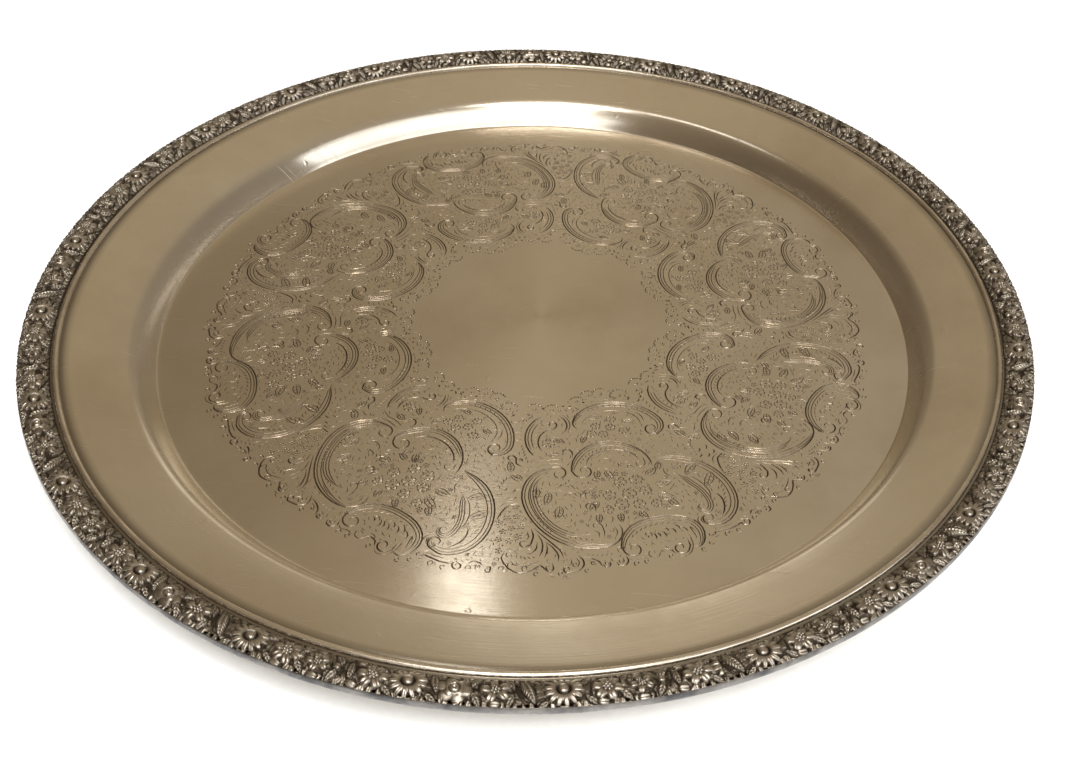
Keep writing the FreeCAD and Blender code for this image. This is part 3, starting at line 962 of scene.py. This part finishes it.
def border_pattern():
    """The flowers of one repeat. First value: degrees from the joint. Second: mm from the inner edge."""
    relief = Relief()
    ground_leaves(relief, np.random.default_rng(11))

    def at(degrees, across):
        return degrees * MM_PER_DEGREE, across * CROWN_WIDTH / 10.1

    for degrees, across, length, width, heading in (
            (1.2, 5.0, 5.6, 1.7, 66), (6.3, 2.0, 3.0, 1.2, 118), (9.6, 8.0, 2.8, 1.2, 50),
            (9.7, 2.0, 2.6, 1.1, 120), (12.9, 2.4, 3.2, 1.3, 55), (12.7, 8.0, 2.6, 1.2, 115),
            (14.2, 5.2, 3.8, 1.2, 84), (17.6, 8.6, 2.6, 1.1, 40), (17.4, 1.8, 2.6, 1.1, 130),
            (21.6, 4.0, 4.6, 1.4, 76), (21.4, 8.8, 2.4, 1.1, 30), (25.3, 8.4, 2.8, 1.2, 60),
            (25.2, 2.0, 3.0, 1.2, 115), (28.1, 2.4, 3.0, 1.2, 60), (28.2, 8.4, 2.6, 1.1, 110),
            (6.7, 8.6, 2.6, 1.1, 40), (2.6, 9.2, 2.0, 0.9, 150), (2.6, 1.0, 2.0, 0.9, 30)):
        leaf_blade(relief, *at(degrees, across), length, width, heading)
    for degrees, across, length, width, heading in (
            (7.6, 9.2, 1.7, 1.0, 10), (9.4, 4.9, 1.2, 1.2, 0), (12.9, 5.2, 1.2, 1.2, 0),
            (14.6, 9.0, 1.7, 1.1, 10), (14.8, 1.2, 1.6, 1.0, 0), (26.9, 9.2, 1.6, 1.0, 0),
            (23.2, 1.3, 1.8, 1.0, 0), (11.1, 9.4, 1.7, 1.0, 0), (10.9, 1.0, 1.6, 0.9, 0),
            (19.3, 0.2, 1.8, 0.7, 0), (4.3, 0.2, 1.8, 0.7, 0)):
        x, y = at(degrees, across)
        relief.sink(x, y, length * 1.12, 0.18)
        relief.dome(x, y, length, width, heading, 0.86, 0.3, 0.14)
    blossom(relief, *at(8.1, 5.2), 4.5, 6, 12)
    blossom(relief, *at(16.2, 5.2), 4.5, 6, 0)
    blossom(relief, *at(11.1, 5.4), 3.5, 5, 30)
    blossom(relief, *at(26.9, 5.2), 4.3, 5, 40)
    rose(relief, *at(23.4, 5.6), 4.8, 10)
    daisy(relief, *at(4.3, 5.0), 5.75, 14, 5)
    daisy(relief, *at(19.3, 5.0), 5.75, 14, 12)
    return relief


def casting_points(relief, sink_to=RELIEF_DEPTH):
    """Radius and height of every relief vertex."""
    edge = np.minimum(relief.v, CROWN_WIDTH - relief.v)
    depth = np.clip(RELIEF_AT_EDGE + 1.1 * edge, 0, sink_to)
    reach = CROWN_RADIUS - depth * (1 - np.clip(relief.height, 0, 1))
    angle = CROWN_START - relief.v / CROWN_RADIUS
    radius = CROWN_CENTRE[0] + reach * np.cos(angle)
    height = np.maximum(CROWN_CENTRE[1] + reach * np.sin(angle), FLANGE_TOP + 0.12)
    return radius, height


def border_casting(name, relief, start, angle, material):
    """One casting: its relief, its walls, its flat back and its two cut ends."""
    columns = np.searchsorted(relief.along, angle * MM_PER_DEGREE - 1e-6) + 1
    bearings = np.minimum(relief.along[:columns] / MM_PER_DEGREE, angle)
    bearings = np.radians(start + bearings)
    radius, height = (grid[:columns] for grid in casting_points(relief))
    back = np.array([[CASTING_OUTER[0] - 0.6, WIRE_TOP], [SHEET_EDGE, WIRE_TOP],
                     [SHEET_EDGE, FLANGE_TOP], [CASTING_INNER[0], FLANGE_TOP]])
    radius = np.c_[radius, np.tile(back[:, 0], (columns, 1))]
    height = np.c_[height, np.tile(back[:, 1], (columns, 1))]
    share = np.c_[relief.height[:columns], np.zeros((columns, len(back)))]
    around = radius.shape[1]
    cosines, sines = np.cos(bearings)[:, None], np.sin(bearings)[:, None]
    vertices = np.stack([radius * cosines, radius * sines, height], axis=2).reshape(-1, 3)
    here = np.arange(around)
    after = (here + 1) % around
    first = (np.arange(columns - 1) * around)[:, None]
    quads = np.stack([first + here, first + after, first + after + around, first + here + around], axis=2)
    smooth = np.tile(here < around - len(back) - 1, columns - 1)
    faces = quads.reshape(-1, 4).tolist()
    faces += [here[::-1].tolist(), (here + (columns - 1) * around).tolist()]
    obj = new_object(name, vertices, faces, [material], None, np.r_[smooth, False, False])
    store = obj.data.attributes.new("relief", "FLOAT", "POINT")
    store.data.foreach_set("value", share.reshape(-1))
    return obj


# ------------------------------------------------------------------ materials
def add(tree, kind, inputs=None, **settings):
    """A node with its settings, and its inputs set or linked."""
    node = tree.nodes.new(kind)
    for name, value in settings.items():
        setattr(node, name, value)
    for socket, value in (inputs or {}).items():
        if isinstance(value, bpy.types.NodeSocket):
            tree.links.new(value, node.inputs[socket])
        else:
            node.inputs[socket].default_value = value
    return node


def math_node(tree, operation, a, b=0.0):
    return add(tree, "ShaderNodeMath", {0: a, 1: b}, operation=operation).outputs[0]


def ramp(tree, factor, stops):
    node = add(tree, "ShaderNodeValToRGB", {0: factor})
    elements = node.color_ramp.elements
    while len(elements) < len(stops):
        elements.new(0.5)
    for element, (position, colour) in zip(elements, stops):
        element.position = position
        element.color = (*colour, 1.0)
    return node.outputs["Color"]


def spread(tree, value, low, high, from_low=0.0, from_high=1.0):
    return add(tree, "ShaderNodeMapRange", {0: value, 1: from_low, 2: from_high, 3: low, 4: high}).outputs[0]


def noise(tree, place, scale, detail=3.0, rough=0.5):
    return add(tree, "ShaderNodeTexNoise", {"Vector": place, "Scale": scale, "Detail": detail,
                                            "Roughness": rough}).outputs["Fac"]


def new_metal(name, **values):
    material = bpy.data.materials.new(name)
    material.use_nodes = True
    tree = material.node_tree
    shader = tree.nodes["Principled BSDF"]
    shader.inputs["Metallic"].default_value = 1.0
    for socket, value in values.items():
        shader.inputs[socket.replace("_", " ")].default_value = value
    return material, tree, shader


def polar_place(tree, place, radial, angular):
    """Coordinates for marks that run round the centre: radius and bearing, each scaled."""
    parts = add(tree, "ShaderNodeSeparateXYZ", {0: place}).outputs
    squares = math_node(tree, "ADD", math_node(tree, "MULTIPLY", parts[0], parts[0]),
                        math_node(tree, "MULTIPLY", parts[1], parts[1]))
    radius = math_node(tree, "MULTIPLY", math_node(tree, "SQRT", squares), radial)
    bearing = math_node(tree, "MULTIPLY", math_node(tree, "ARCTAN2", parts[1], parts[0]), angular)
    return add(tree, "ShaderNodeCombineXYZ", {0: radius, 1: bearing, 2: 0.0}).outputs[0]


def scratches(tree, place, turn, density):
    """Sparse straight hairlines that all run one way, as a factor from 0 to 1."""
    mapping = add(tree, "ShaderNodeMapping", {"Vector": place, "Rotation": (0, 0, math.radians(turn)),
                                              "Scale": (30, 2200, 1)})
    return spread(tree, noise(tree, mapping.outputs[0], 1.0, 1.0), 0.0, 1.0, density, density + 0.05)


def bump(tree, height, strength, distance, normal=None):
    inputs = {"Height": height, "Strength": strength, "Distance": distance}
    if normal is not None:
        inputs["Normal"] = normal
    return add(tree, "ShaderNodeBump", inputs).outputs[0]


BEAD_SHADE_SHARE = 0.5                  # share of the colour left at the bead: painted shade, darkest where the rim runs in to the bead
BEAD_SHADE_BAND = (0.1735, 0.1768)     # metres from the centre


def polished_silver():
    """Old plate, buffed round and round: faint rings, hairlines, small dents and a warm tarnish, and painted
    shade that darkens the rim as it runs in to the bead.
    """
    material, tree, shader = new_metal("polished_silver", Anisotropic=0.7, Anisotropic_Rotation=0.25)
    place = add(tree, "ShaderNodeTexCoord").outputs["Object"]
    flat = add(tree, "ShaderNodeVectorMath", {0: place, 1: (1, 1, 0)}, operation="MULTIPLY").outputs[0]
    tarnish = noise(tree, place, 22.0, 6.0, 0.6)
    cloud = noise(tree, place, 6.0, 2.0)
    rings = noise(tree, polar_place(tree, place, 1500.0, 2.0), 1.0, 3.0, 0.7)
    marks = scratches(tree, place, 24, 0.735)
    for turn, density in ((-38, 0.74), (71, 0.75)):
        marks = math_node(tree, "MAXIMUM", marks, scratches(tree, place, turn, density))
    tint = ramp(tree, tarnish, ((0.3, (0.80, 0.735, 0.63)), (0.62, (0.90, 0.855, 0.77))))
    shade = ramp(tree, cloud, ((0.35, (0.95, 0.94, 0.93)), (0.65, (1.0, 1.0, 1.0))))
    colour = add(tree, "ShaderNodeMix", {0: 1.0, 6: tint, 7: shade}, data_type="RGBA",
                 blend_type="MULTIPLY").outputs[2]
    # painted shade: the colour falls to half over a narrow band as the rim runs in to the bead
    kept = spread(tree, add(tree, "ShaderNodeVectorMath", {0: flat}, operation="LENGTH").outputs["Value"],
                  1.0, BEAD_SHADE_SHARE, *BEAD_SHADE_BAND)
    colour_with_bead_shade = add(tree, "ShaderNodeMix", {0: 1.0, 6: colour, 7: kept}, data_type="RGBA",
                 blend_type="MULTIPLY").outputs[2]
    tree.links.new(colour_with_bead_shade, shader.inputs["Base Color"])
    rough = math_node(tree, "ADD", spread(tree, tarnish, 0.24, 0.15, 0.3, 0.7),
                      math_node(tree, "MULTIPLY", marks, 0.12))
    tree.links.new(rough, shader.inputs["Roughness"])
    wave = bump(tree, noise(tree, place, 15.0, 1.0), 0.10, 0.004)
    dents = bump(tree, spread(tree, noise(tree, place, 210.0, 1.0), 0, 1, 0.72, 0.8), 0.10, 0.0004, wave)
    fine = bump(tree, rings, 0.12, 0.0002, dents)
    normal = bump(tree, math_node(tree, "SUBTRACT", 1.0, marks), 0.15, 0.0001, fine)
    tree.links.new(normal, shader.inputs["Normal"])
    tangent = add(tree, "ShaderNodeTangent", direction_type="RADIAL", axis="Z").outputs[0]
    tree.links.new(tangent, shader.inputs["Tangent"])
    return material


def groove_silver():
    """The cut faces of the engraving, with old polish and tarnish left in them."""
    material, tree, shader = new_metal("engraved_groove")
    place = add(tree, "ShaderNodeTexCoord").outputs["Object"]
    dirt = noise(tree, place, 160.0, 4.0, 0.6)
    tree.links.new(ramp(tree, dirt, ((0.3, (0.10, 0.08, 0.055)), (0.7, (0.40, 0.335, 0.26)))),
                   shader.inputs["Base Color"])
    tree.links.new(spread(tree, dirt, 0.5, 0.28, 0.3, 0.7), shader.inputs["Roughness"])
    return material


def wire_silver():
    """Drawn wire: bright, with tarnish in patches and fine lines along it."""
    material, tree, shader = new_metal("drawn_wire")
    place = add(tree, "ShaderNodeTexCoord").outputs["Object"]
    tarnish = noise(tree, place, 60.0, 5.0, 0.6)
    lines = noise(tree, polar_place(tree, place, 4000.0, 8.0), 1.0, 2.0)
    tree.links.new(ramp(tree, tarnish, ((0.3, (0.62, 0.55, 0.45)), (0.6, (0.88, 0.83, 0.75)))),
                   shader.inputs["Base Color"])
    tree.links.new(spread(tree, tarnish, 0.34, 0.18, 0.3, 0.7), shader.inputs["Roughness"])
    tree.links.new(bump(tree, lines, 0.15, 0.0002), shader.inputs["Normal"])
    return material


def shaded_edge_silver():
    """The outer wire: dark slate grey that is painted shade along the outer edge, with tarnish and brighter rubs
    in patches.
    """
    material, tree, shader = new_metal("edge_tarnish_and_painted_shade")
    place = add(tree, "ShaderNodeTexCoord").outputs["Object"]
    tarnish = noise(tree, place, 90.0, 5.0, 0.65)
    # painted shade: the dark end of this ramp stands in for the shade and dark reflection along the outer edge
    tree.links.new(ramp(tree, tarnish, ((0.35, (0.10, 0.10, 0.105)), (0.75, (0.36, 0.34, 0.32)))),
                   shader.inputs["Base Color"])
    tree.links.new(spread(tree, tarnish, 0.5, 0.3, 0.3, 0.7), shader.inputs["Roughness"])
    return material


def cast_silver():
    """Cast flowers: bright where hands have rubbed them, black-brown down in the ground."""
    material, tree, shader = new_metal("cast_border_silver")
    place = add(tree, "ShaderNodeTexCoord").outputs["Object"]
    grime = noise(tree, place, 420.0, 5.0, 0.65)
    relief = add(tree, "ShaderNodeAttribute", attribute_name="relief").outputs["Fac"]
    worn = math_node(tree, "ADD", relief, spread(tree, grime, -0.16, 0.16, 0.25, 0.75))
    tree.links.new(ramp(tree, worn, ((0.08, (0.09, 0.073, 0.056)), (0.34, (0.165, 0.14, 0.112)),
                                     (0.60, (0.305, 0.275, 0.232)), (0.90, (0.60, 0.56, 0.51)))),
                   shader.inputs["Base Color"])
    tree.links.new(spread(tree, worn, 0.6, 0.30, 0.1, 0.8), shader.inputs["Roughness"])
    tree.links.new(bump(tree, grime, 0.2, 0.0003), shader.inputs["Normal"])
    return material


def floor_paper():
    """Matt white paper with a faint tooth."""
    material = bpy.data.materials.new("floor_paper")
    material.use_nodes = True
    tree = material.node_tree
    shader = tree.nodes["Principled BSDF"]
    shader.inputs["Roughness"].default_value = 0.9
    shader.inputs["Specular IOR Level"].default_value = 0.1
    place = add(tree, "ShaderNodeTexCoord").outputs["Object"]
    tooth = noise(tree, place, 500.0, 4.0)
    tree.links.new(ramp(tree, tooth, ((0.3, (0.90, 0.90, 0.90)), (0.7, (0.93, 0.93, 0.93)))),
                   shader.inputs["Base Color"])
    tree.links.new(bump(tree, tooth, 0.05, 0.0005), shader.inputs["Normal"])
    return material


# ------------------------------------------------------------------ studio
RADIUS = OUTER_RADIUS * MM
CAMERA_DISTANCE = 2.342           # outer radii
CAMERA_ELEVATION = 42.99
CAMERA_ROLL = 3.82
CAMERA_TARGET = (0.182, -0.193)   # outer radii
CAMERA_LENS = 38.84
CAMERA_SHIFT = (-0.0730, 0.0008)


def camera():
    tilt, roll = math.radians(CAMERA_ELEVATION), math.radians(CAMERA_ROLL)
    forward = Vector((0, math.cos(tilt), -math.sin(tilt)))
    right = Vector((1, 0, 0))
    up = right.cross(forward)
    side = math.cos(roll) * right + math.sin(roll) * up
    top = math.cos(roll) * up - math.sin(roll) * right
    data = bpy.data.cameras.new("camera")
    data.lens = CAMERA_LENS
    data.shift_x, data.shift_y = CAMERA_SHIFT
    data.clip_start, data.clip_end = 0.01, 50
    obj = bpy.data.objects.new("camera", data)
    target = Vector((CAMERA_TARGET[0] * RADIUS, CAMERA_TARGET[1] * RADIUS, SHEET * MM))
    turn = Matrix((side, top, -forward)).transposed().to_4x4()
    obj.matrix_world = Matrix.Translation(target - CAMERA_DISTANCE * RADIUS * forward) @ turn
    bpy.context.scene.collection.objects.link(obj)
    bpy.context.scene.camera = obj


def direction(azimuth, elevation):
    a, e = math.radians(azimuth), math.radians(elevation)
    return Vector((math.cos(a) * math.cos(e), math.sin(a) * math.cos(e), math.sin(e)))


def soft_light(name, azimuth, elevation, distance, size, radiance, colour=(1, 1, 1)):
    """A rectangular light that faces the salver, as bright as its radiance."""
    data = bpy.data.lights.new(name, "AREA")
    data.shape = "RECTANGLE"
    data.size, data.size_y = size
    data.energy = radiance * math.pi * size[0] * size[1]
    data.color = colour
    obj = bpy.data.objects.new(name, data)
    toward = direction(azimuth, elevation)
    obj.matrix_world = Matrix.Translation(toward * distance) @ toward.to_track_quat("Z", "Y").to_matrix().to_4x4()
    bpy.context.scene.collection.objects.link(obj)
    return obj


def room_light():
    """A dim warm room, darker to the left, which shows as a plain pale backdrop."""
    world = bpy.data.worlds.new("room")
    world.use_nodes = True
    tree = world.node_tree
    background = tree.nodes["Background"]
    place = add(tree, "ShaderNodeTexCoord").outputs["Generated"]
    parts = add(tree, "ShaderNodeSeparateXYZ", {0: place}).outputs
    sideways = ramp(tree, spread(tree, parts[0], 0, 1, -1, 1),
                    ((0.1, (0.16, 0.12, 0.08)), (0.33, (0.24, 0.185, 0.12)), (0.47, (0.38, 0.30, 0.195)),
                     (0.62, (0.335, 0.275, 0.195)), (0.9, (0.30, 0.25, 0.19))))
    patches = spread(tree, noise(tree, place, 1.6, 1.0), 0.94, 1.06, 0.3, 0.7)
    tree.links.new(sideways, background.inputs["Color"])
    rising = spread(tree, parts[2], 0.84, 1.16, 0.45, 0.9)
    tree.links.new(math_node(tree, "MULTIPLY", patches, rising), background.inputs["Strength"])
    backdrop = add(tree, "ShaderNodeBackground", {0: (0.93, 0.93, 0.93, 1.0), 1: 1.0})
    seen = add(tree, "ShaderNodeLightPath").outputs["Is Camera Ray"]
    shown = add(tree, "ShaderNodeMixShader", {0: seen, 1: background.outputs[0], 2: backdrop.outputs[0]})
    tree.links.new(shown.outputs[0], tree.nodes["World Output"].inputs["Surface"])
    bpy.context.scene.world = world


def studio():
    room_light()
    soft_light("window", 303, 36, 2.2, (4.2, 1.25), 1.45)
    lamp = soft_light("lamp", 117, 68, 0.43, (0.035, 0.09), 2.3, (1.0, 0.95, 0.88))
    lamp.visible_diffuse = False
    soft_light("far_wall", 92, 17, 2.4, (0.42, 0.5), 0.5, (1.0, 0.90, 0.76))
    soft_light("near_window", 275, 57, 2.2, (0.8, 0.5), 8.0, (1.0, 0.96, 0.9))
    soft_light("ceiling", 270, 76, 2.2, (0.9, 0.5), 6.5, (1.0, 0.97, 0.92))
    key = soft_light("key", 300, 64, 2.5, (1.2, 1.2), 12.0, (0.94, 0.97, 1.0))
    key.visible_glossy = False
    fill = soft_light("fill", 200, 50, 2.5, (2.5, 2.5), 0.5, (0.75, 0.88, 1.0))
    fill.visible_glossy = False


def floor(material):
    """A broad sheet of paper, a hair's breadth under the salver."""
    half, drop = 6000.0, -0.05
    corners = [(-half, -half, drop), (half, -half, drop), (half, half, drop), (-half, half, drop)]
    new_object("studio_floor", corners, [(0, 1, 2, 3)], [material], None, False)


def place(obj, node, slot):
    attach(obj, "root")
    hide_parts(node)


def build():
    silver, groove, wire, cast = polished_silver(), groove_silver(), wire_silver(), cast_silver()
    place(tray_plate([silver, groove]), "tray_body", "plate_silver")
    place(bead_ring(wire), "bead_wire", "wire_silver")
    place(edge_ring(shaded_edge_silver()), "edge_wire", "wire_silver")
    relief = border_pattern()
    for number in range(FULL_SECTIONS):
        obj = border_casting(f"floral_casting_{number + 1:02d}", relief,
                             FIRST_JOINT + number * REPEAT_ANGLE, REPEAT_ANGLE, cast)
        place(obj, f"border_section_{number + 1:02d}", "border_silver")
    last = FULL_SECTIONS * REPEAT_ANGLE
    obj = border_casting("floral_casting_closing", relief, FIRST_JOINT + last, 360 - last, cast)
    place(obj, "border_closing_section", "border_silver")


build()
floor(floor_paper())
studio()
camera()
bpy.context.scene.view_settings.view_transform = "Standard"
